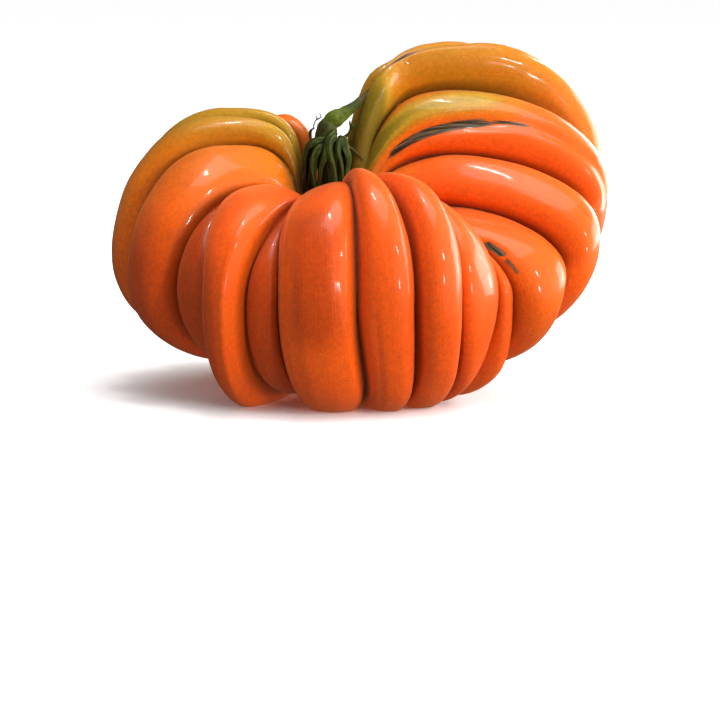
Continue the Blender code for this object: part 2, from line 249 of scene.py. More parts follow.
def crest_line(rib, along):
    """Points of a crest: four quarters of ellipses, level at crown and foot and upright at the waist."""
    angle = (along - np.clip(np.floor(along), HOLLOW, FOOT)) * math.pi / 2
    rising, turning = np.sin(angle), np.cos(angle)
    power = np.where(along < CROWN, rib.square, 2.0)
    corner = (rising**power + turning**power) ** (-1 / power)
    rising, turning = rising * corner, turning * corner
    quarters = [along < CROWN, along < WAIST, along < FOOT]
    radius = np.select(
        quarters,
        [
            rib.crown_radius - (rib.crown_radius - CAVITY_RADIUS) * turning,
            rib.crown_radius + (rib.waist_radius - rib.crown_radius) * rising,
            rib.foot_radius + (rib.waist_radius - rib.foot_radius) * turning,
        ],
        rib.foot_radius - (rib.foot_radius - BLOSSOM_RADIUS) * rising,
    )
    height = np.select(
        quarters,
        [
            CAVITY_FLOOR + (rib.crown_height - CAVITY_FLOOR) * rising,
            rib.waist_height + (rib.crown_height - rib.waist_height) * turning,
            rib.waist_height - (rib.waist_height - rib.foot_height) * rising,
        ],
        BLOSSOM_HEIGHT - (BLOSSOM_HEIGHT - rib.foot_height) * turning,
    )
    bearing = np.radians(through(rib.crown_bearing, rib.waist_bearing, rib.foot_bearing, along))
    x = STEM_AXIS[0] + radius * np.sin(bearing)
    y = STEM_AXIS[1] - radius * np.cos(bearing)
    return np.stack([x, y, height], axis=-1)


class Valley:
    """The stretch of skin between two neighbouring crests."""

    def __init__(self, before, after, along):
        self.before, self.after, self.along = before, after, along
        across = crest_line(after, along) - crest_line(before, along)
        downhill = np.gradient(self.skin(0.5), along, axis=0)
        self.outward = unit(np.cross(downhill, across))
        reach = CREASE_SHARE * np.linalg.norm(across, axis=-1, keepdims=True) / 2
        from_end = np.minimum(along, BLOSSOM - along)
        open_share = SHALLOW_END + (1 - SHALLOW_END) * ease(from_end / OPENING)
        self.depth = open_share[:, None] * DEEPEST_CREASE * np.tanh(reach / DEEPEST_CREASE)

    def skin(self, share):
        """The smooth skin over the valley, before it sinks, at a share of the way across."""
        mixed = Rib(*[a + (b - a) * share for a, b in zip(self.before, self.after)])
        return crest_line(mixed, self.along)

    def bottom(self, share, lift=0.0):
        return self.skin(share) - self.outward * (self.depth - lift)

    def bottom_along(self, shares):
        """The valley's bottom along a line whose share of the way across changes from station to station."""
        return np.array([self.bottom(share)[row] for row, share in enumerate(shares)])


def turned(rib, degrees):
    bearings = [name for name in rib._fields if name.endswith("_bearing")]
    return rib._replace(**{name: getattr(rib, name) + degrees for name in bearings})


def arch(left, crest, right, columns):
    """Points over a rib from its left crease up to, but not with, its right one, and their places across."""
    chord = unit(right - left)
    rise = crest - (left + right) / 2
    rise = rise - chord * (rise * chord).sum(axis=-1, keepdims=True) / 2
    angles = np.linspace(-ARCH_HALF_ANGLE, ARCH_HALF_ANGLE, columns + 1)
    corner = (np.abs(np.sin(angles)) ** FULLNESS + np.cos(angles) ** FULLNESS) ** (-1 / FULLNESS)
    places, heights = np.sin(angles) * corner, np.cos(angles) * corner
    places, heights = places / places[-1], (heights - heights[0]) / (1 - heights[0])
    points = [
        left + (right - left) * (0.5 + 0.5 * place) + rise * height
        for place, height in zip(places[:-1], heights[:-1])
    ]
    return points, list(places[:-1])


def row_places(rows):
    """A place along the crests for each row of points, with so many rows from one station to the next."""
    quarters = [quarter + np.arange(count) / count for quarter, count in enumerate(rows)]
    return np.concatenate([*quarters, [BLOSSOM]])


def fruit_columns(along, rib_columns, tucked_columns):
    """The skin's columns of points in order round the stem, with their ribs' numbers and places across.

    A tucked rib has the number of the rib before it, plus a half.
    """
    neighbours = [*RIBS[1:], turned(RIBS[0], 360)]
    valleys = [Valley(a, b, along) for a, b in zip(RIBS, neighbours)]
    right_edges, left_edges, tucked = [], [], []
    for number, valley in enumerate(valleys):
        fill = TUCKED_RIBS.get(number)
        if fill is None:
            share = valley.before.share / (valley.before.share + valley.after.share)
            crease = valley.bottom(share)
            right_edges.append(crease)
            left_edges.append(crease)
            tucked.append(([], []))
            continue
        half = through(fill.crown_half, fill.waist_half, fill.foot_half, along)
        half = half * (1 - TUCKED_NARROWING * ease(along - FOOT))
        left = valley.bottom_along(fill.place - half)
        right = valley.bottom_along(fill.place + half)
        swell = ease(half / max(fill.waist_half, fill.foot_half))[:, None]
        crest = valley.bottom(fill.place, fill.lift * swell)
        right_edges.append(left)
        left_edges.append(right)
        tucked.append(arch(left, crest, right, tucked_columns))
    points, numbers, across = [], [], []
    for number, rib in enumerate(RIBS):
        rib_points, rib_across = arch(
            left_edges[number - 1], crest_line(rib, along), right_edges[number], rib_columns
        )
        tucked_points, tucked_across = tucked[number]
        points += rib_points + tucked_points
        across += rib_across + tucked_across
        numbers += [float(number)] * len(rib_points) + [number + 0.5] * len(tucked_points)
    return np.array(points), np.array(numbers), np.array(across)


def outward_normals(points):
    """Normals of the skin at each point, from its neighbours round and along."""
    round_stem = np.roll(points, -1, axis=0) - np.roll(points, 1, axis=0)
    return unit(np.cross(np.gradient(points, axis=1), round_stem))


def strip_shape(strip, along, numbers, across):
    """How strongly a long mark or patch shows at each point: 1 on its middle line and 0 outside it."""
    share = (along - strip.start) / (strip.end - strip.start)
    middle = strip.across_start + (strip.across_end - strip.across_start) * share
    taper = ease(share / STRIP_TAPER) * ease((1 - share) / STRIP_TAPER)
    aside = (across[:, None] - middle[None, :]) / strip.half_width
    shape = np.clip(1 - aside**2, 0, 1) ** 2 * taper[None, :]
    return shape * (numbers == strip.rib)[:, None]


def patches(strips, along, numbers, across):
    """The strongest of several patches at each point."""
    shapes = [strip.strength * strip_shape(strip, along, numbers, across) for strip in strips]
    return np.max(shapes, axis=0)


def ripeness(along, numbers, across):
    """0 where the skin is ripe and 1 where it is still olive."""
    table = np.zeros((len(numbers), len(along)))
    for column, (number, place) in enumerate(zip(numbers, across)):
        before = RIPENESS[int(number)]
        after = RIPENESS[(int(number) + 1) % len(RIPENESS)]
        share = number - int(number)
        inner, crown, waist, foot, right_side = [a + (b - a) * share for a, b in zip(before, after)]
        past_hollow = ease((along - INNER_COLOUR_END) / (CROWN_COLOUR_START - INNER_COLOUR_END))
        from_hollow = inner + (crown - inner) * past_hollow
        rest = through(crown, waist, foot, along)
        table[column] = np.where(along < CROWN, from_hollow, rest) + right_side * place
    return table


def skin_faces(around, rows):
    """Faces between the columns of points, and fans to the two middle points that come after them."""
    faces, fans = [], []
    top_middle, bottom_middle = around * rows, around * rows + 1
    for column in range(around):
        first = column * rows
        beside = (column + 1) % around * rows
        faces += [(first + i, first + i + 1, beside + i + 1, beside + i) for i in range(rows - 1)]
        fans += [
            (top_middle, first, beside),
            (bottom_middle, beside + rows - 1, first + rows - 1),
        ]
    return faces + fans


def flattened(height):
    """Heights with the lowest ones bent towards level, so that the fruit rests on small flat spots."""
    bent = FLAT_HEIGHT * np.exp(np.minimum(height / FLAT_HEIGHT - 1, 0))
    lowest = FLAT_HEIGHT * math.exp(LOWEST_FOOT / FLAT_HEIGHT - 1)
    return np.where(height < FLAT_HEIGHT, bent, height) - lowest


def sharpen_creases(mesh, across, rows):
    """Marks the edges that run down the creases between ribs, where a rib's place across is at its end."""
    ends = np.zeros(len(mesh.edges) * 2, np.int32)
    mesh.edges.foreach_get("vertices", ends)
    first, second = (ends.reshape(-1, 2) // rows).T
    creases = np.flatnonzero(np.abs(across) > CREASE_PLACE)
    sharp = mesh.attributes.new("sharp_edge", "BOOLEAN", "EDGE")
    sharp.data.foreach_set("value", (first == second) & np.isin(first, creases))


def fruit_skin(rows, rib_columns, tucked_columns):
    """The fruit's mesh in metres, with what its material and its relief read stored at each point."""
    along = row_places(rows)
    points, numbers, across = fruit_columns(along, rib_columns, tucked_columns)
    normals = outward_normals(points)
    for mark in MARKS:
        shape = strip_shape(mark, along, numbers, across)
        points = points + normals * (shape * mark.height)[:, :, None]
    points[:, :, 2] = flattened(points[:, :, 2])
    around, count = points.shape[:2]
    free_ends = ease(along / FREE_TOP) * ease((BLOSSOM - along) / FREE_BOTTOM)
    scar = ease((along - SCAR_START) / SCAR_EDGE)
    layers = {
        "along": along / BLOSSOM,
        "across": across[:, None],
        "rib": numbers[:, None],
        "unripe": ripeness(along, numbers, across) + patches(GREENS, along, numbers, across),
        "cork": np.maximum(patches(CORKS, along, numbers, across), scar),
        "blush_and_shade": patches(BLUSHES_AND_SHADE, along, numbers, across),
        "freedom": ease(points[:, :, 2] / FREE_HEIGHT) * free_ends,
    }
    heights = (CAVITY_FLOOR + MIDDLE_RISE, BLOSSOM_HEIGHT - MIDDLE_RISE)
    middles = [(*STEM_AXIS, height) for height in heights]
    mesh = bpy.data.meshes.new("fruit_skin")
    places = (np.concatenate([points.reshape(-1, 3), middles]) + CENTRING) * MM
    mesh.from_pydata(places.tolist(), [], skin_faces(around, count))
    for name, table in layers.items():
        attribute = mesh.attributes.new(name, "FLOAT", "POINT")
        values = np.broadcast_to(table, (around, count)).reshape(-1)
        values = np.concatenate([values, MIDDLE_VALUES.get(name, (0, 0))])
        attribute.data.foreach_set("value", values.astype(np.float32))
    sharpen_creases(mesh, across, count)
    mesh.shade_smooth()
    return mesh


# ---------------------------------------------------------------- stem and sepals, in millimetres

# Stops up the stem: x, y, z, radius and how far along its colours it is. It is rough where the sepals join,
# green at its knuckle, and ends as a dry brown strand in the crease beside the tallest rib.
STEM_STOPS = (
    (-8.5, 0.0, 42.0, 3.4, 0.00),
    (-8.5, 0.0, 52.0, 2.4, 0.10),
    (-8.7, 0.0, 58.0, 2.5, 0.18),
    (-9.0, -0.1, 60.8, 3.1, 0.24),
    (-8.9, -0.1, 62.2, 2.75, 0.28),
    (-8.7, -0.1, 64.2, 2.6, 0.34),
    (-8.3, -0.1, 65.4, 2.45, 0.40),
    (-7.9, 0.0, 66.1, 1.95, 0.45),
    (-7.3, 0.1, 66.8, 2.1, 0.49),
    (-6.3, 0.3, 67.5, 2.15, 0.55),
    (-5.0, 0.6, 68.2, 1.75, 0.62),
    (-3.6, 1.1, 69.1, 1.45, 0.69),
    (-2.2, 1.7, 70.1, 1.2, 0.75),
    (-0.8, 2.5, 71.2, 1.0, 0.80),
    (0.7, 3.5, 72.5, 0.85, 0.85),
    (2.5, 4.7, 74.0, 0.7, 0.92),
    (4.7, 6.0, 76.2, 0.6, 1.00),
    (7.4, 7.4, 78.9, 0.5, 1.05),
    (10.2, 8.9, 80.6, 0.4, 1.10),
)

# Each stop along a sepal is its bearing, its distance from the middle of the hollow and its height. A sepal
# turns by so many degrees from its root to its tip, and dries from a share of its length on.
Sepal = namedtuple("Sepal", "name width twist dries stops")
SEPALS = (
    Sepal(
        "front", 2.3, 35, 1.0,
        ((30, 2.5, 64.8), (-4, 3.9, 62.9), (-10, 5.2, 61.0),
         (-12, 6.0, 58.4), (-21, 6.0, 55.2), (-30, 5.3, 49.0)),
    ),
    Sepal(
        "front_right", 2.3, -30, 1.0,
        ((36, 2.6, 63.4), (8, 4.4, 62.8), (0, 5.7, 60.8),
         (6, 6.2, 58.0), (14, 6.0, 54.6), (18, 5.3, 48.0)),
    ),
    Sepal(
        "right_front", 2.2, 30, 1.0,
        ((66, 2.8, 63.0), (32, 4.5, 61.8), (22, 5.6, 59.8),
         (27, 6.1, 57.2), (33, 5.9, 54.0), (36, 5.3, 48.0)),
    ),
    Sepal(
        "right", 0.9, 40, 0.0,
        ((74, 3.2, 62.2), (80, 4.4, 61.0), (84, 6.2, 59.6), (86, 8.6, 56.9)),
    ),
    Sepal(
        "right_upright", 1.6, 30, 0.85,
        ((88, 2.6, 61.6), (92, 4.0, 62.8), (95, 5.2, 64.6), (96, 5.0, 66.8)),
    ),
    Sepal(
        "right_low", 3.0, -25, 1.0,
        ((72, 2.8, 63.2), (56, 4.6, 62.2), (50, 5.6, 60.2),
         (56, 6.0, 57.6), (50, 5.8, 54.0), (52, 5.2, 48.0)),
    ),
    Sepal(
        "back_right", 2.4, 25, 0.9,
        ((128, 2.8, 62.6), (129, 4.8, 61.0), (131, 5.8, 56.5), (132, 5.9, 48.0)),
    ),
    Sepal(
        "back", 2.5, -25, 0.9,
        ((160, 2.8, 62.8), (160, 4.9, 61.2), (161, 6.1, 56.5), (164, 6.1, 48.5)),
    ),
    Sepal(
        "back_left", 2.5, 30, 0.9,
        ((190, 2.8, 62.6), (191, 5.0, 61.4), (193, 6.2, 56.5), (190, 6.1, 48.0)),
    ),
    Sepal(
        "left_back", 2.4, -30, 0.9,
        ((220, 2.8, 62.8), (221, 4.8, 61.8), (224, 6.0, 57.0), (228, 6.0, 49.0)),
    ),
    Sepal(
        "left_curl", 1.5, 0, 0.95,
        ((262, 3.2, 60.6), (262, 4.7, 62.2), (265, 4.9, 64.0), (272, 4.0, 65.0)),
    ),
    Sepal(
        "left_low", 2.5, 25, 0.9,
        ((252, 3.0, 62.4), (254, 4.9, 61.2), (256, 6.1, 56.8),
         (260, 6.2, 51.5), (262, 6.0, 48.0)),
    ),
    Sepal(
        "left", 2.4, -30, 0.95,
        ((288, 2.6, 62.8), (284, 4.6, 62.0), (280, 5.9, 59.8),
         (276, 6.5, 56.0), (272, 6.0, 49.0)),
    ),
    Sepal(
        "left_front", 2.2, 30, 0.95,
        ((340, 2.6, 62.9), (320, 4.2, 62.5), (305, 5.8, 61.0),
         (296, 6.5, 58.2), (294, 6.7, 54.4), (290, 7.4, 51.0)),
    ),
    Sepal(
        "front_left", 2.7, -20, 1.0,
        ((338, 3.0, 61.6), (324, 5.0, 60.4), (318, 6.1, 57.9),
         (318, 6.2, 55.0), (322, 6.0, 51.6), (326, 5.3, 47.5)),
    ),
)
# Slim side strands that spring from a sepal: a width, and stops as above.
SIDE_STRANDS = {
    "right_upright": ((0.9, ((95, 5.2, 64.4), (95, 6.1, 65.5), (96, 6.6, 66.0), (97, 7.1, 66.0))),),
    "left_curl": (
        (0.60, ((272, 3.9, 64.8), (268, 3.9, 65.9), (272, 3.4, 67.0), (284, 2.4, 67.6), (296, 1.9, 67.9))),
        (0.42, ((275, 3.1, 67.2), (274, 3.2, 67.8), (273, 3.3, 68.3))),
        (0.42, ((288, 2.3, 67.7), (288, 2.4, 68.3), (287, 2.6, 68.8))),
    ),
}


STEPS_PER_STOP = 24


def smooth_route(stops, count):
    """count points evenly spaced along a smooth curve through the stops, each a row of numbers."""
    stops = np.array(stops, float)
    ends = np.concatenate([[2 * stops[0] - stops[1]], stops, [2 * stops[-1] - stops[-2]]])
    fine = []
    for i in range(len(stops) - 1):
        p0, p1, p2, p3 = ends[i : i + 4]
        bend, twist = 2 * p0 - 5 * p1 + 4 * p2 - p3, 3 * p1 - p0 - 3 * p2 + p3
        for t in np.linspace(0, 1, STEPS_PER_STOP, endpoint=False):
            fine.append(0.5 * (2 * p1 + (p2 - p0) * t + bend * t**2 + twist * t**3))
    fine = np.array([*fine, stops[-1]])
    steps = np.linalg.norm(np.diff(fine[:, :3], axis=0), axis=1)
    travelled = np.concatenate([[0], np.cumsum(steps)])
    wanted = np.linspace(0, travelled[-1], count)
    return np.stack([np.interp(wanted, travelled, column) for column in fine.T], axis=-1)


# One line that a growth tree sweeps a section along. Each of its points has half the section's width, the way
# its outer side faces and its place along the colours.
Line = namedtuple("Line", "route girths facings along")


def strand(name, lines):
    """An object of lines for a growth tree."""
    mesh = bpy.data.meshes.new(name)
    edges, first = [], 0
    for line in lines:
        edges += [(i, i + 1) for i in range(first, first + len(line.route) - 1)]
        first += len(line.route)
    places = (np.concatenate([line.route for line in lines]) + CENTRING) * MM
    mesh.from_pydata(places.tolist(), edges, [])
    girths, facings, along = (
        np.concatenate([getattr(line, field) for line in lines]) for field in ("girths", "facings", "along")
    )
    for label, kind, slot, values in (
        ("girth", "FLOAT", "value", girths * MM),
        ("along", "FLOAT", "value", along),
        ("facing", "FLOAT_VECTOR", "vector", unit(facings)),
    ):
        attribute = mesh.attributes.new(label, kind, "POINT")
        attribute.data.foreach_set(slot, np.asarray(values, np.float32).reshape(-1))
    made = bpy.data.objects.new(name, mesh)
    bpy.context.scene.collection.objects.link(made)
    return made


def blunt_tip(share, past_end, length, smallest):
    """Rounds off a strand over its last length, and ends past it, so that its tip keeps some width."""
    return np.sqrt(np.clip((past_end - share) / length, smallest, 1))


def stem_strand(rings):
    table = smooth_route(STEM_STOPS, rings)
    girths = table[:, 3] * blunt_tip(np.linspace(0, 1, rings), 1.02, 0.03, 0.05)
    facings = np.tile([0.0, -1.0, 0.2], (rings, 1))
    return strand("stem", [Line(table[:, :3], girths, facings, table[:, 4])])


# A blade reaches its full width at its shoulder, a share of its length from the root, and then narrows to its
# tip by a share of its width. The one tucked under it lies to its left and lower, and is nearer and narrower.
SHOULDER = 0.35
TIP_NARROWING = 0.6
FACE_TILT = np.array([0, 0, 0.8])
UNDER_BEARING = -14
UNDER_DISTANCE = 0.76
UNDER_DROP = 1.2
UNDER_WIDTH = 0.75
WIDE_SEPAL = 2.0
SIDE_STRAND_RINGS = 10


def blade_line(stops, width, twist, dries, rings, slim=1.0):
    """A blade: slim where it joins the stem, broad over its shoulder and drawn out to a blunt point."""
    bearing, radius, height = smooth_route(stops, rings).T
    bearing = np.radians(bearing)
    out = np.stack([np.sin(bearing), -np.cos(bearing), 0 * bearing], axis=-1)
    route = out * radius[:, None]
    route[:, :2] += STEM_AXIS
    route[:, 2] = height
    share = np.linspace(0, 1, rings)
    widths = min(width, slim) + max(width - slim, 0) * ease(share / SHOULDER)
    widths *= 1 - TIP_NARROWING * ease((share - SHOULDER) / (1 - SHOULDER))
    widths *= blunt_tip(share, 1.01, 0.06, 0.1)
    heading = unit(np.gradient(route, axis=0))
    face = out + FACE_TILT
    face = unit(face - heading * (face * heading).sum(axis=-1, keepdims=True))
    turn = np.radians(twist) * share[:, None]
    facings = face * np.cos(turn) + np.cross(heading, face) * np.sin(turn)
    return Line(route, widths / 2, facings, share + 1 - dries)


def sepal_strand(sepal, rings):
    """A sepal with a narrower blade tucked under its left side and any strands that spring from it."""
    lines = [blade_line(sepal.stops, sepal.width, sepal.twist, sepal.dries, rings)]
    if sepal.width > WIDE_SEPAL:
        under = [(b + UNDER_BEARING, UNDER_DISTANCE * d, h - UNDER_DROP) for b, d, h in sepal.stops]
        lines.append(blade_line(under, UNDER_WIDTH * sepal.width, -sepal.twist, sepal.dries, rings))
    for width, stops in SIDE_STRANDS.get(sepal.name, ()):
        lines.append(blade_line(stops, width, 0, sepal.dries, SIDE_STRAND_RINGS, width))
    return strand(SEPAL_PREFIX + sepal.name, lines)


# ---------------------------------------------------------------- node helpers


def linked(tree, kind, inputs=None, **settings):
    """A new node with its settings, and its inputs linked to another node's output or given a value."""
    node = tree.nodes.new(kind)
    for name, value in settings.items():
        setattr(node, name, value)
    for name, value in (inputs or {}).items():
        socket = node.inputs[name]
        if isinstance(value, bpy.types.NodeSocket):
            tree.links.new(value, socket)
        else:
            socket.default_value = value
    return node


def sums(tree, operation, *values):
    return linked(tree, "ShaderNodeMath", dict(enumerate(values)), operation=operation).outputs[0]


def times(tree, first, second):
    return sums(tree, "MULTIPLY", first, second)


def plus(tree, first, second):
    return sums(tree, "ADD", first, second)


def swing(tree, value, height):
    """A noise from 0 to 1 as one about nothing, with this height from its lowest to its highest."""
    return times(tree, sums(tree, "SUBTRACT", value, 0.5), height)


def vectors(tree, operation, inputs):
    return linked(tree, "ShaderNodeVectorMath", inputs, operation=operation).outputs[0]


def combined(tree, *parts):
    return linked(tree, "ShaderNodeCombineXYZ", dict(enumerate(parts))).outputs[0]


def new_tree(name, inputs):
    """An empty geometry tree, with inputs given as (name, kind, value) besides its geometry."""
    tree = bpy.data.node_groups.new(name, "GeometryNodeTree")
    tree.interface.new_socket(name="Geometry", in_out="INPUT", socket_type="NodeSocketGeometry")
    for label, kind, value in inputs:
        socket = tree.interface.new_socket(name=label, in_out="INPUT", socket_type="NodeSocket" + kind)
        if value is not None:
            socket.default_value = value
    tree.interface.new_socket(name="Geometry", in_out="OUTPUT", socket_type="NodeSocketGeometry")
    start = tree.nodes.new("NodeGroupInput")
    end = tree.nodes.new("NodeGroupOutput")
    return tree, start.outputs, end.inputs[0]


def named(tree, name, kind="FLOAT"):
    return linked(
        tree, "GeometryNodeInputNamedAttribute", {"Name": name}, data_type=kind
    ).outputs["Attribute"]


def position(tree):
    return tree.nodes.new("GeometryNodeInputPosition").outputs[0]


def lumps(tree, size, height, detail, seed):
    """A noise about nothing whose lumps have this size, and this height to both sides."""
    inputs = {
        "Vector": position(tree),
        "W": seed,
        "Scale": sums(tree, "DIVIDE", 1.0, size),
        "Detail": detail,
    }
    waves = linked(tree, "ShaderNodeTexNoise", inputs, noise_dimensions="4D").outputs[0]
    return times(tree, swing(tree, waves, 2.0), height)


def raised(tree, geometry, rise):
    """The geometry with its points moved out along their normals."""
    normal = tree.nodes.new("GeometryNodeInputNormal").outputs[0]
    offset = vectors(tree, "SCALE", {0: normal, "Scale": rise})
    return linked(tree, "GeometryNodeSetPosition", {"Geometry": geometry, "Offset": offset}).outputs[0]


def finish_tree(tree, geometry, material, end):
    real = linked(tree, "GeometryNodeRealizeInstances", {"Geometry": geometry}).outputs[0]
    covered = linked(tree, "GeometryNodeSetMaterial", {"Geometry": real, "Material": material})
    tree.links.new(covered.outputs[0], end)


def grown(source, tree, values):
    """The plain mesh object that a tree makes from a source object, which it takes the place of."""
    modifier = source.modifiers.new(tree.name, "NODES")
    modifier.node_group = tree
    for item in tree.interface.items_tree:
        if item.in_out == "INPUT" and item.name in values:
            modifier[item.identifier] = values[item.name]
    graph = bpy.context.evaluated_depsgraph_get()
    mesh = bpy.data.meshes.new_from_object(source.evaluated_get(graph))
    source.modifiers.remove(modifier)
    name, old = source.name, source.data
    bpy.data.objects.remove(source)
    bpy.data.meshes.remove(old)
    made = bpy.data.objects.new(name, mesh)
    bpy.context.scene.collection.objects.link(made)
    return made


def skin_relief_tree():
    """Soft lumps and finer ripples over the fruit, none where it rests."""
    tree, given, end = new_tree(
        "Skin relief",
        [
            ("Lump height", "Float", 0.0008),
            ("Lump size", "Float", 0.022),
            ("Ripple height", "Float", 0.0001),
            ("Ripple size", "Float", 0.005),
            ("Seed", "Float", 3.0),
            ("Material", "Material", None),
        ],
    )
    lump = lumps(tree, given["Lump size"], given["Lump height"], 1.0, given["Seed"])
    ripple = lumps(tree, given["Ripple size"], given["Ripple height"], 2.0, given["Seed"])
    rise = times(tree, plus(tree, lump, ripple), named(tree, "freedom"))
    finish_tree(tree, raised(tree, given["Geometry"], rise), given["Material"], end)
    return tree


# A midrib falls away to both sides as a power of a base. Then how far a hair leans, the shortest hair as a
# share of the longest, and how far apart two seeds' lumps lie.
MIDRIB_BASE, MIDRIB_SLIMNESS = 2.718, -30.0
HAIR_LEAN = 0.45
SHORTEST_HAIR = 0.4
SEED_STRIDE = 7.31


def growth_section(tree, given):
    """The outline that is swept along a strand: flattened, cupped, ridged and with a midrib, as asked."""
    circle = linked(
        tree, "GeometryNodeCurvePrimitiveCircle", {"Resolution": given["Sides"], "Radius": 1.0}
    ).outputs["Curve"]
    out, aside, _ = linked(tree, "ShaderNodeSeparateXYZ", {0: position(tree)}).outputs
    angle = sums(tree, "ARCTAN2", aside, out)
    ridges = sums(tree, "COSINE", times(tree, angle, given["Ridges"]))
    swell = sums(tree, "MULTIPLY_ADD", ridges, given["Ridge height"], 1.0)
    square = times(tree, aside, aside)
    bend = times(tree, square, given["Cup"])
    on_top = times(tree, sums(tree, "GREATER_THAN", out, 0.0), given["Midrib"])
    vein = times(tree, sums(tree, "POWER", MIDRIB_BASE, times(tree, square, MIDRIB_SLIMNESS)), on_top)
    thick = times(tree, times(tree, out, given["Flatness"]), swell)
    depth = plus(tree, sums(tree, "SUBTRACT", thick, bend), vein)
    moved = linked(
        tree,
        "GeometryNodeSetPosition",
        {"Geometry": circle, "Position": combined(tree, depth, times(tree, aside, swell))},
    ).outputs[0]
    return linked(
        tree,
        "GeometryNodeStoreNamedAttribute",
        {"Geometry": moved, "Name": "round", "Value": angle},
        data_type="FLOAT",
        domain="POINT",
    ).outputs[0]


def growth_hairs(tree, body, given):
    """Fine hairs that stand on a body, each leaning its own way."""
    roots = linked(
        tree,
        "GeometryNodeDistributePointsOnFaces",
        {"Mesh": body, "Density": given["Hairs per square metre"], "Seed": given["Seed"]},
    ).outputs
    hair = linked(
        tree,
        "GeometryNodeMeshCone",
        {"Vertices": 4, "Radius Top": 0.02, "Radius Bottom": 0.07, "Depth": 1.0},
        fill_type="TRIANGLE_FAN",
    ).outputs[0]
    lean = linked(
        tree,
        "FunctionNodeRandomValue",
        {"Min": (-HAIR_LEAN,) * 3, "Max": (HAIR_LEAN,) * 3, "Seed": given["Seed"]},
        data_type="FLOAT_VECTOR",
    ).outputs[0]
    heading = vectors(tree, "ADD", {0: roots["Normal"], 1: lean})
    upright = linked(tree, "FunctionNodeAlignRotationToVector", {"Vector": heading}, axis="Z")
    share = linked(
        tree,
        "FunctionNodeRandomValue",
        {2: SHORTEST_HAIR, 3: 1.0, "Seed": given["Seed"]},
        data_type="FLOAT",
    ).outputs[1]
    return linked(
        tree,
        "GeometryNodeInstanceOnPoints",
        {
            "Points": roots["Points"],
            "Instance": hair,
            "Rotation": upright.outputs[0],
            "Scale": times(tree, share, given["Hair length"]),
        },
    ).outputs[0]


def growth_tree():
    """A section swept along a strand, with lengthwise ridges, lumps and fine upright hairs."""
    tree, given, end = new_tree(
        "Growth",
        [
            ("Sides", "Int", 16),
            ("Flatness", "Float", 1.0),
            ("Cup", "Float", 0.0),
            ("Midrib", "Float", 0.0),
            ("Ridges", "Float", 0.0),
            ("Ridge height", "Float", 0.0),
            ("Lump height", "Float", 0.0002),
            ("Lump size", "Float", 0.002),
            ("Hairs per square metre", "Float", 2.0e6),
            ("Hair length", "Float", 0.0005),
            ("Seed", "Int", 1),
            ("Material", "Material", None),
        ],
    )
    line = linked(tree, "GeometryNodeMeshToCurve", {"Mesh": given["Geometry"]}).outputs[0]
    line = linked(
        tree,
        "GeometryNodeSetCurveNormal",
        {"Curve": line, "Normal": named(tree, "facing", "FLOAT_VECTOR")},
        mode="FREE",
    ).outputs[0]
    section = growth_section(tree, given)
    body = linked(
        tree,
        "GeometryNodeCurveToMesh",
        {"Curve": line, "Profile Curve": section, "Scale": named(tree, "girth"), "Fill Caps": True},
    ).outputs[0]
    body = linked(tree, "GeometryNodeSetShadeSmooth", {"Geometry": body, "Shade Smooth": True}).outputs[0]
    seed = times(tree, given["Seed"], SEED_STRIDE)
    body = raised(tree, body, lumps(tree, given["Lump size"], given["Lump height"], 2.0, seed))
    joined = tree.nodes.new("GeometryNodeJoinGeometry")
    for geometry in (growth_hairs(tree, body, given), body):
        tree.links.new(geometry, joined.inputs[0])
    finish_tree(tree, joined.outputs[0], given["Material"], end)
    return tree


# ---------------------------------------------------------------- materials


def new_material(name, constants):
    """A material and its shader, with the values that are the same all over set on the shader."""
    made = bpy.data.materials.new(name)
    made.use_nodes = True
    shader = made.node_tree.nodes["Principled BSDF"]
    for socket, value in constants.items():
        shader.inputs[socket].default_value = value
    return made, made.node_tree, shader


def layer(tree, name):
    return linked(tree, "ShaderNodeAttribute", attribute_name=name).outputs["Fac"]


def noise(tree, vector, scale, detail=2.0, roughness=0.5):
    inputs = {"Vector": vector, "Scale": scale, "Detail": detail, "Roughness": roughness}
    return linked(tree, "ShaderNodeTexNoise", inputs).outputs["Fac"]


def ranged(tree, value, low, high, new_low=0.0, new_high=1.0):
    inputs = {"Value": value, "From Min": low, "From Max": high, "To Min": new_low, "To Max": new_high}
    return linked(tree, "ShaderNodeMapRange", inputs).outputs["Result"]


def blended(tree, share, first, second, mode="MIX"):
    """The first colour with a share of the second, each a colour or a node's output."""
    first, second = (
        colour if isinstance(colour, bpy.types.NodeSocket) else (*colour, 1.0)
        for colour in (first, second)
    )
    inputs = {0: share, 6: first, 7: second}
    return linked(tree, "ShaderNodeMix", inputs, data_type="RGBA", blend_type=mode).outputs[2]


def dimmed(tree, colour, light):
    grey = linked(tree, "ShaderNodeCombineColor", {0: light, 1: light, 2: light}).outputs[0]
    return blended(tree, 1.0, colour, grey, "MULTIPLY")


def ramp(tree, value, *stops):
    node = linked(tree, "ShaderNodeValToRGB", {"Fac": value})
    elements = node.color_ramp.elements
    while len(elements) < len(stops):
        elements.new(0.5)
    for element, (place, colour) in zip(elements, stops):
        element.position = place
        element.color = (*colour, 1.0)
    return node.outputs["Color"]


def finish_material(tree, shader, colour, roughness, heights):
    """Links a colour, a roughness and bumps stacked one on another: (height, strength, metres)."""
    normal = None
    for height, strength, distance in heights:
        inputs = {"Height": height, "Strength": strength, "Distance": distance}
        if normal is not None:
            inputs["Normal"] = normal
        normal = linked(tree, "ShaderNodeBump", inputs).outputs["Normal"]
    for socket, value in (("Base Color", colour), ("Roughness", roughness), ("Normal", normal)):
        tree.links.new(value, shader.inputs[socket])


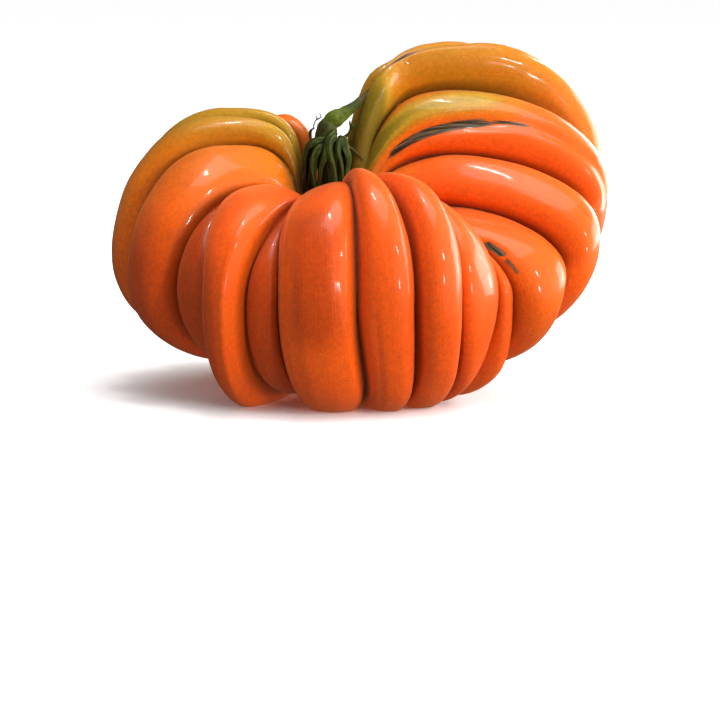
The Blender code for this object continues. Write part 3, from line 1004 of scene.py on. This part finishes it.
# How many marks of each kind lie on a metre.
FINEST_GRAIN, MOTTLE, SPECKS = 2600.0, 900.0, 620.0
SPECK_GROUPS, CLOUDS, BROWN_PATCHES = 130.0, 55.0, 24.0
CORK_BLACK, CORK_BROWN, CORK_PALE, CORK_GREY = (
    (0.010, 0.007, 0.005),
    (0.035, 0.024, 0.014),
    (0.22, 0.17, 0.10),
    (0.030, 0.020, 0.012),
)
CORK_RIM = (0.30, 0.09, 0.012)
CORK_ROUGHNESS = 0.8
GREEN_GRAIN, GREEN_CLOUDS = 1100.0, 350.0
SEPAL_GRAIN, SEPAL_CLOUDS = 1300.0, 300.0
DARK_GRAIN = (0.010, 0.012, 0.004)
DARK_FOLDS = (0.008, 0.010, 0.003)


def skin_material(settings):
    """Waxy skin, ripe orange to olive, with speckles, faint streaks along the ribs, corky scars, painted
    shade in the creases and the stem's hollow, and left ribs' lower halves partly darkened with painted
    shade.
    """
    made, tree, shader = new_material(
        "tomato_skin",
        {
            "Subsurface Weight": 0.12,
            "Subsurface Radius": (1.0, 0.25, 0.08),
            "Subsurface Scale": 0.002,
            "Coat Weight": 0.5,
            "Coat Roughness": 0.10,
            "Specular IOR Level": 0.45,
            "Specular Tint": (1.0, 0.72, 0.48, 1.0),
            "Sheen Weight": 0.16,
            "Sheen Roughness": 0.45,
            "Sheen Tint": (1.0, 0.62, 0.34, 1.0),
        },
    )
    place = linked(tree, "ShaderNodeTexCoord").outputs["Object"]
    along, across, rib = layer(tree, "along"), layer(tree, "across"), layer(tree, "rib")
    # Streaks and fibres run along the ribs, and differ from rib to rib.
    on_rib = combined(tree, times(tree, across, 3.0), times(tree, along, 6.0), times(tree, rib, 5.3))
    streak_place = vectors(tree, "MULTIPLY", {0: on_rib, 1: (5.0, 0.8, 1.0)})
    fibre_place = vectors(tree, "MULTIPLY", {0: on_rib, 1: (8.0, 1.2, 1.0)})
    streaks = noise(tree, streak_place, 1.6, 4.0, 0.6)
    fibres = noise(tree, fibre_place, 1.6, 5.0, 0.65)
    clouds = noise(tree, place, CLOUDS, 3.0, 0.55)
    brown_patches = noise(tree, place, BROWN_PATCHES, 1.0, 0.5)
    mottle = noise(tree, place, MOTTLE, 3.0, 0.6)
    grain = noise(tree, place, FINEST_GRAIN, 2.0, 0.6)

    unripe = plus(tree, layer(tree, "unripe"), swing(tree, clouds, 0.24))
    unripe = plus(tree, unripe, swing(tree, streaks, 0.16))
    colour = ramp(
        tree,
        unripe,
        (0.05, settings.ripe_colour),
        (0.35, settings.turning_colour),
        (0.60, settings.olive_colour),
        (0.82, settings.yellow_colour),
        (1.0, settings.green_colour),
    )
    # Random browner patches and blush; on the left ribs' lower halves the blush is partly painted shade.
    blush_and_shade = ranged(tree, plus(tree, layer(tree, "blush_and_shade"), swing(tree, clouds, 0.5)), 0.05, 0.75)
    brown_and_shade = times(tree, ranged(tree, brown_patches, 0.50, 0.72), 0.30)
    brown_and_shade = times(tree, sums(tree, "MAXIMUM", brown_and_shade, blush_and_shade), 0.85)
    colour = blended(tree, brown_and_shade, colour, settings.blush_and_shade_colour)

    # Painted shade: the colour darkens towards the bottom of every crease and deep in the stem's hollow.
    crease_shade = ranged(tree, sums(tree, "ABSOLUTE", across), 0.88, 1.0, 1.0, 0.45)
    hollow_shade = ranged(tree, along, 0.04, 0.14, 0.30, 1.0)
    colour = dimmed(tree, colour, times(tree, crease_shade, hollow_shade))
    mottled = ranged(tree, mottle, 0.3, 0.7, 0.88, 1.10)
    grained = ranged(tree, grain, 0.3, 0.7, 0.86, 1.12)
    colour = dimmed(tree, colour, times(tree, mottled, grained))
    dots = linked(tree, "ShaderNodeTexVoronoi", {"Vector": place, "Scale": SPECKS, "Randomness": 1.0})
    dots = ranged(tree, dots.outputs["Distance"], 0.13, 0.08)
    dots = times(tree, dots, ranged(tree, noise(tree, place, SPECK_GROUPS), 0.55, 0.62))
    colour = blended(tree, times(tree, dots, 0.45), colour, settings.speck_colour)

    ragged = plus(tree, layer(tree, "cork"), swing(tree, fibres, 0.9))
    corky = ranged(tree, ragged, 0.38, 0.52)
    cork_colour = ramp(
        tree, fibres, (0.38, CORK_BLACK), (0.50, CORK_BROWN), (0.57, CORK_PALE), (0.66, CORK_GREY)
    )
    rim = times(tree, ranged(tree, ragged, 0.20, 0.40), 0.55)
    colour = blended(tree, rim, colour, CORK_RIM)
    colour = blended(tree, corky, colour, cork_colour)

    waxy = ranged(tree, clouds, 0.3, 0.7, settings.roughness - 0.04, settings.roughness + 0.06)
    roughness = linked(tree, "ShaderNodeMix", {0: corky, 2: waxy, 3: CORK_ROUGHNESS}, data_type="FLOAT")
    heights = (
        (grain, 0.10, 0.00005),
        (mottle, 0.14, 0.00012),
        (clouds, 0.35, 0.0008),
        (streaks, 0.22, 0.0004),
        (times(tree, fibres, corky), 0.9, 0.0006),
    )
    finish_material(tree, shader, colour, roughness.outputs[0], heights)
    return made


def new_green(name):
    """A material for stem or sepals, with what both read: object places, places along and round, and more."""
    constants = {"Subsurface Weight": 0.05, "Subsurface Scale": 0.001, "Specular IOR Level": 0.3}
    made, tree, shader = new_material(name, constants)
    place = linked(tree, "ShaderNodeTexCoord").outputs["Object"]
    return made, tree, shader, place, layer(tree, "along"), layer(tree, "round")


def stem_material(settings):
    """Brown and rough at the foot of the stem, green at its knuckle and dried brown at its end."""
    made, tree, shader, place, along, lengthwise = new_green("stem_green")
    grain = noise(tree, place, GREEN_GRAIN, 4.0, 0.65)
    cloud = noise(tree, place, GREEN_CLOUDS, 2.0)
    colour = ramp(
        tree,
        plus(tree, along, swing(tree, cloud, 0.10)),
        (0.20, settings.stub_colour),
        (0.40, settings.stub_colour),
        (0.50, settings.knuckle_colour),
        (0.64, settings.knuckle_colour),
        (0.76, settings.stalk_colour),
        (0.84, settings.dry_colour),
    )
    line_place = combined(tree, times(tree, lengthwise, 3.0), times(tree, along, 4.0))
    lines = noise(tree, line_place, 2.0, 3.0, 0.6)
    colour = blended(tree, ranged(tree, lines, 0.45, 0.7, 0.0, 0.45), colour, settings.vein_colour)
    colour = blended(tree, ranged(tree, grain, 0.50, 0.68, 0.0, 0.55), colour, DARK_GRAIN)
    roughness = ranged(tree, grain, 0.3, 0.7, 0.42, 0.7)
    heights = ((grain, 0.6, 0.0003), (lines, 0.4, 0.0003))
    finish_material(tree, shader, colour, roughness, heights)
    return made


def sepal_material(settings):
    """Dark, wilted green with a paler midrib and dry brown at the tips."""
    made, tree, shader, place, along, lengthwise = new_green("sepal_green")
    grain = noise(tree, place, SEPAL_GRAIN, 4.0, 0.6)
    cloud = noise(tree, place, SEPAL_CLOUDS, 2.0)
    fold_place = combined(tree, times(tree, lengthwise, 2.2), times(tree, along, 3.0), cloud)
    folds = noise(tree, fold_place, 1.8, 3.0, 0.55)
    midrib = ranged(tree, sums(tree, "COSINE", lengthwise), 0.55, 1.0)
    veins = sums(tree, "MAXIMUM", midrib, ranged(tree, folds, 0.50, 0.68))
    veins = times(tree, veins, ranged(tree, cloud, 0.3, 0.6, 0.3, 1.0))
    colour = blended(tree, veins, settings.sepal_colour, settings.vein_colour)
    colour = blended(tree, ranged(tree, grain, 0.5, 0.7, 0.0, 0.5), colour, DARK_FOLDS)
    dry = plus(tree, along, swing(tree, cloud, 0.5))
    colour = blended(tree, ranged(tree, dry, 0.95, 1.1, 0.0, 0.85), colour, settings.dry_colour)
    roughness = ranged(tree, grain, 0.3, 0.7, 0.45, 0.7)
    heights = ((grain, 0.5, 0.0002), (folds, 0.6, 0.0004))
    finish_material(tree, shader, colour, roughness, heights)
    return made


# ---------------------------------------------------------------- settings


def colour_setting(name, description, default):
    return bpy.props.FloatVectorProperty(
        name=name, description=description, default=default, size=3, min=0, max=1, subtype="COLOR"
    )


def length_setting(name, description, default):
    return bpy.props.FloatProperty(
        name=name, description=description, default=default, min=0, unit="LENGTH", precision=5
    )


def number_setting(name, description, default, **limits):
    return bpy.props.FloatProperty(name=name, description=description, default=default, **limits)


def light_setting(name, description, default):
    """A light's strength: 1 makes a white surface that faces it white."""
    return number_setting(name, description, default, min=0)


class FruitSettings(bpy.types.PropertyGroup):
    rib_columns: bpy.props.IntProperty(
        name="Columns per rib", description="Faces across each rib", default=28, min=6, max=40
    )
    row_density: number_setting(
        "Row density", "Rows of faces along a rib, over the usual", 1.0, min=0.3, max=2.0
    )
    lump_height: length_setting("Lump height", "How far the skin's soft lumps stand out", 0.0008)
    lump_size: length_setting("Lump size", "Distance from one soft lump to the next", 0.022)
    ripple_height: length_setting("Ripple height", "How far the finer ripples stand out", 0.00010)
    ripple_size: length_setting("Ripple size", "Distance from one ripple to the next", 0.005)
    roughness: number_setting(
        "Roughness", "Roughness of the waxy skin", 0.40, min=0.05, max=1.0, subtype="FACTOR"
    )
    ripe_colour: colour_setting("Ripe", "Skin where it is fully ripe", (0.76, 0.080, 0.0014))
    turning_colour: colour_setting("Turning", "Skin that is half ripe", (0.64, 0.130, 0.0015))
    olive_colour: colour_setting("Olive", "Unripe skin on the shoulders", (0.42, 0.150, 0.0020))
    yellow_colour: colour_setting("Yellow green", "Unripe skin on the left shoulders", (0.42, 0.235, 0.012))
    green_colour: colour_setting("Green", "Unripe skin in the stem's hollow", (0.20, 0.140, 0.0050))
    # Blush, which also paints part of the shade on the left ribs' lower halves.
    blush_and_shade_colour: colour_setting("Blush", "Deeper, browner patches on ripe skin", (0.43, 0.040, 0.0010))
    speck_colour: colour_setting("Specks", "Fine dark specks", (0.16, 0.035, 0.0030))


class StemSettings(bpy.types.PropertyGroup):
    hair_length: length_setting("Hair length", "Longest of the fine hairs on stem and sepals", 0.0005)
    hair_density: number_setting("Hairs", "Hairs on each square metre", 2.5e6, min=0)
    stub_colour: colour_setting("Stub", "The rough foot of the stem", (0.034, 0.034, 0.007))
    knuckle_colour: colour_setting("Knuckle", "The swollen green bend of the stem", (0.080, 0.118, 0.004))
    stalk_colour: colour_setting("Stalk", "The thin stalk past the knuckle", (0.034, 0.046, 0.005))
    dry_colour: colour_setting("Dry", "Dried brown ends", (0.075, 0.045, 0.016))
    sepal_colour: colour_setting("Sepals", "The sepals' green", (0.014, 0.026, 0.0020))
    vein_colour: colour_setting("Veins", "Paler ridges on stem and sepals", (0.085, 0.115, 0.006))


class StageSettings(bpy.types.PropertyGroup):
    floor_colour: colour_setting("Floor", "The pale floor", (0.97, 0.97, 0.97))
    room_light: light_setting("Room light", "Even white light from all sides", 0.52)
    key_light: light_setting("Key light", "Soft light from the front right", 1.30)
    sky_light: light_setting("Sky light", "Even soft light from above", 0.42)
    side_light: light_setting("Side light", "Broad soft light from the right", 0.75)
    rim_light: light_setting("Rim light", "Broad soft light from the right and behind", 1.3)
    top_light: light_setting("Top light", "Broad soft light from above", 0.35)
    strip_light: light_setting("Strip lights", "Narrow lights that draw the skin's highlights", 0.12)


# ---------------------------------------------------------------- operators


# Rows of faces from the hollow to the crown, on to the waist, the foot and the blossom end; columns over a
# tucked rib for each one over a rib; and rings along the stem and along a sepal.
SKIN_ROWS = (34, 46, 34, 20)
TUCKED_COLUMNS = 2 / 3
STEM_RINGS = 90
SEPAL_RINGS = 44
STEM_SHAPE = {
    "Sides": 36,
    "Ridges": 5.0,
    "Ridge height": 0.07,
    "Lump height": 0.00028,
    "Lump size": 0.0016,
    "Seed": 4,
}
SEPAL_SHAPE = {
    "Sides": 20,
    "Flatness": 0.28,
    "Cup": 0.45,
    "Midrib": 0.22,
    "Lump height": 0.00016,
    "Lump size": 0.0014,
}
FIRST_SEPAL_SEED = 11


def growth_looks(settings):
    return {"Hairs per square metre": settings.hair_density, "Hair length": settings.hair_length}


def settle(piece, node):
    """Says what a finished piece rides on and which CAD node it stands for."""
    if not piece.data.polygons:
        raise RuntimeError(f"{piece.name} has no faces")
    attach(piece, BODY)
    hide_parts(node)


class TOMATO_OT_fruit(bpy.types.Operator):
    """Build the ribbed fruit and its skin"""

    bl_idname = "tomato.fruit"
    bl_label = "Fruit"

    def execute(self, context):
        settings = context.scene.tomato_fruit
        rows = [round(count * settings.row_density) for count in SKIN_ROWS]
        mesh = fruit_skin(rows, settings.rib_columns, int(settings.rib_columns * TUCKED_COLUMNS))
        source = bpy.data.objects.new("fruit_skin", mesh)
        context.scene.collection.objects.link(source)
        relief = {
            "Lump height": settings.lump_height,
            "Lump size": settings.lump_size,
            "Ripple height": settings.ripple_height,
            "Ripple size": settings.ripple_size,
            "Material": skin_material(settings),
        }
        settle(grown(source, skin_relief_tree(), relief), "fruit")
        return {"FINISHED"}


class TOMATO_OT_stem(bpy.types.Operator):
    """Build the stem with its knuckle and its dried end"""

    bl_idname = "tomato.stem"
    bl_label = "Stem"

    def execute(self, context):
        settings = context.scene.tomato_stem
        looks = {**growth_looks(settings), "Material": stem_material(settings)}
        stem = grown(stem_strand(STEM_RINGS), growth_tree(), {**STEM_SHAPE, **looks})
        stem.name = "stem_strand"
        settle(stem, "stem")
        return {"FINISHED"}


class TOMATO_OT_sepals(bpy.types.Operator):
    """Build the sepals that drape round the stem"""

    bl_idname = "tomato.sepals"
    bl_label = "Sepals"

    def execute(self, context):
        settings = context.scene.tomato_stem
        looks = {**growth_looks(settings), "Material": sepal_material(settings)}
        tree = growth_tree()
        for number, sepal in enumerate(SEPALS):
            values = {**SEPAL_SHAPE, **looks, "Seed": FIRST_SEPAL_SEED + number}
            blade = grown(sepal_strand(sepal, SEPAL_RINGS), tree, values)
            blade.name = "blade_" + sepal.name
            settle(blade, SEPAL_PREFIX + sepal.name)
        return {"FINISHED"}


# Lights stand round the middle of the fruit, at an azimuth that is 0 in front and 90 to the right and at a
# height above level, both in degrees. A sun's last number is how broad it is, in degrees.
MIDDLE = Vector((0, 0, 0.045))
LAMP_DISTANCE = 0.75
SUNS = {"key_light": (56, 4, 50), "sky_light": (60, 78, 60)}
# Softboxes: azimuth, height above level, width and height in metres.
SOFTBOXES = {
    "side_light": ((98, 14, 0.40, 0.50),),
    "top_light": ((60, 82, 0.55, 0.45),),
    "rim_light": ((138, 12, 0.70, 0.50),),
    "strip_light": (
        (33, 9, 0.016, 0.10),
        (42, 34, 0.02, 0.07),
        (104, 8, 0.03, 0.12),
        (-60, 88, 0.12, 0.03),
    ),
}
FLOOR_REACH = 6.0
# The camera: millimetres of lens and sensor, metres from where it aims, and how far it looks down.
LENS, SENSOR = 140.0, 36.0
AIM = Vector((0, 0, 0.0071))
CAMERA_DISTANCE = 0.70
CAMERA_RISE = math.radians(9.5)
NEAREST, FARTHEST = 0.01, 50.0


class TOMATO_OT_stage(bpy.types.Operator):
    """Set the floor, the lights and the camera"""

    bl_idname = "tomato.stage"
    bl_label = "Stage"

    def execute(self, context):
        settings = context.scene.tomato_stage
        scene = context.scene
        scene.view_settings.view_transform = "Standard"
        self.floor(scene, settings)
        self.room(scene, settings)
        for name, place in SUNS.items():
            self.sun(scene, name, getattr(settings, name), *place)
        for name, places in SOFTBOXES.items():
            for place in places:
                self.softbox(scene, name, getattr(settings, name), *place)
        self.camera(scene)
        return {"FINISHED"}

    @staticmethod
    def floor(scene, settings):
        """A pale floor that neither shines on the fruit nor shows in its gloss."""
        far = FLOOR_REACH
        mesh = bpy.data.meshes.new("floor")
        places = [(-far, -far, 0), (far, -far, 0), (far, far, 0), (-far, far, 0)]
        mesh.from_pydata(places, [], [(0, 1, 2, 3)])
        colour = (*settings.floor_colour, 1.0)
        mesh.materials.append(new_material("floor_white", {"Roughness": 0.9, "Base Color": colour})[0])
        floor = bpy.data.objects.new("floor", mesh)
        scene.collection.objects.link(floor)
        floor.visible_glossy = floor.visible_diffuse = False

    @staticmethod
    def room(scene, settings):
        """Even white light from all sides."""
        room = bpy.data.worlds.new("room")
        room.use_nodes = True
        background = room.node_tree.nodes["Background"].inputs
        background["Color"].default_value = (1, 1, 1, 1)
        background["Strength"].default_value = settings.room_light
        room.cycles_visibility.glossy = False
        scene.world = room

    @staticmethod
    def camera(scene):
        lens = bpy.data.cameras.new("camera")
        lens.lens, lens.sensor_width, lens.sensor_fit = LENS, SENSOR, "HORIZONTAL"
        lens.clip_start, lens.clip_end = NEAREST, FARTHEST
        camera = bpy.data.objects.new("camera", lens)
        camera.location = AIM + CAMERA_DISTANCE * Vector((0, -math.cos(CAMERA_RISE), math.sin(CAMERA_RISE)))
        camera.rotation_euler = (AIM - camera.location).to_track_quat("-Z", "Y").to_euler()
        scene.collection.objects.link(camera)
        scene.camera = camera

    @staticmethod
    def lamp(scene, light, azimuth, above, distance):
        """Puts a light round the middle of the fruit and aims it there."""
        azimuth, above = math.radians(azimuth), math.radians(above)
        level = math.cos(above)
        out = Vector((level * math.sin(azimuth), -level * math.cos(azimuth), math.sin(above)))
        lamp = bpy.data.objects.new(light.name, light)
        lamp.location = MIDDLE + distance * out
        lamp.rotation_euler = (-out).to_track_quat("-Z", "Y").to_euler()
        scene.collection.objects.link(lamp)
        return lamp

    def sun(self, scene, name, strength, azimuth, above, breadth):
        light = bpy.data.lights.new(name, "SUN")
        light.energy, light.angle = math.pi * strength, math.radians(breadth)
        self.lamp(scene, light, azimuth, above, 1.0).visible_glossy = False

    def softbox(self, scene, name, strength, azimuth, above, width, height):
        light = bpy.data.lights.new(name, "AREA")
        light.shape, light.size, light.size_y = "RECTANGLE", width, height
        light.energy = strength * (math.pi * LAMP_DISTANCE) ** 2
        self.lamp(scene, light, azimuth, above, LAMP_DISTANCE)


class TOMATO_PT_panel(bpy.types.Panel):
    bl_label = "Tomato"
    bl_idname = "TOMATO_PT_panel"
    bl_space_type = "VIEW_3D"
    bl_region_type = "UI"
    bl_category = "Tomato"

    def draw(self, context):
        for group, operators in (
            ("tomato_fruit", (TOMATO_OT_fruit,)),
            ("tomato_stem", (TOMATO_OT_stem, TOMATO_OT_sepals)),
            ("tomato_stage", (TOMATO_OT_stage,)),
        ):
            box = self.layout.box()
            settings = getattr(context.scene, group)
            for name in SETTINGS[group].__annotations__:
                box.prop(settings, name)
            for operator in operators:
                box.operator(operator.bl_idname)


SETTINGS = {"tomato_fruit": FruitSettings, "tomato_stem": StemSettings, "tomato_stage": StageSettings}
CLASSES = (
    *SETTINGS.values(),
    TOMATO_OT_fruit,
    TOMATO_OT_stem,
    TOMATO_OT_sepals,
    TOMATO_OT_stage,
    TOMATO_PT_panel,
)


def register():
    for cls in CLASSES:
        bpy.utils.register_class(cls)
    for name, group in SETTINGS.items():
        setattr(bpy.types.Scene, name, bpy.props.PointerProperty(type=group))


def unregister():
    for name in SETTINGS:
        delattr(bpy.types.Scene, name)
    for cls in reversed(CLASSES):
        bpy.utils.unregister_class(cls)


def main():
    register()
    bpy.ops.tomato.fruit()
    bpy.ops.tomato.stem()
    bpy.ops.tomato.sepals()
    bpy.ops.tomato.stage()


if __name__ == "__main__":
    main()
